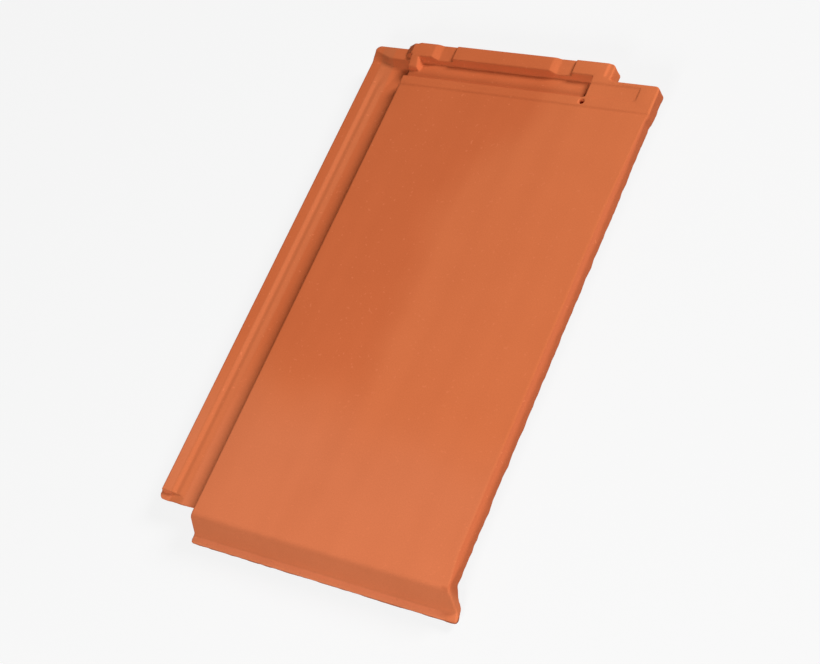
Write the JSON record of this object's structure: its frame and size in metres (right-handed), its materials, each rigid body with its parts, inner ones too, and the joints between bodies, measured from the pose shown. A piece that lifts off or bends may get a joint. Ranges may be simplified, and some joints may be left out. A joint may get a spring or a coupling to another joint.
{
  "type": "interlocking clay roof tile",
  "caption": "Flat interlocking clay roof tile with a folded foot, a side lock channel, a head groove behind a raised strip, batten nibs and a nail hole.",
  "frame": {"origin": "middle of the tile's footprint, on the floor it lies on", "axes": "+Z out of the weather face, +Y up the roof slope from the folded foot to the head, +X across the tile from the side lock to the covering side"},
  "size_m": [0.2848, 0.4778, 0.031],
  "materials": {
    "fired_clay": "matt, unglazed, natural red"
  },
  "bodies": {
    "root": {"roof_tile": "fired_clay"}
  },
  "joints": []
}
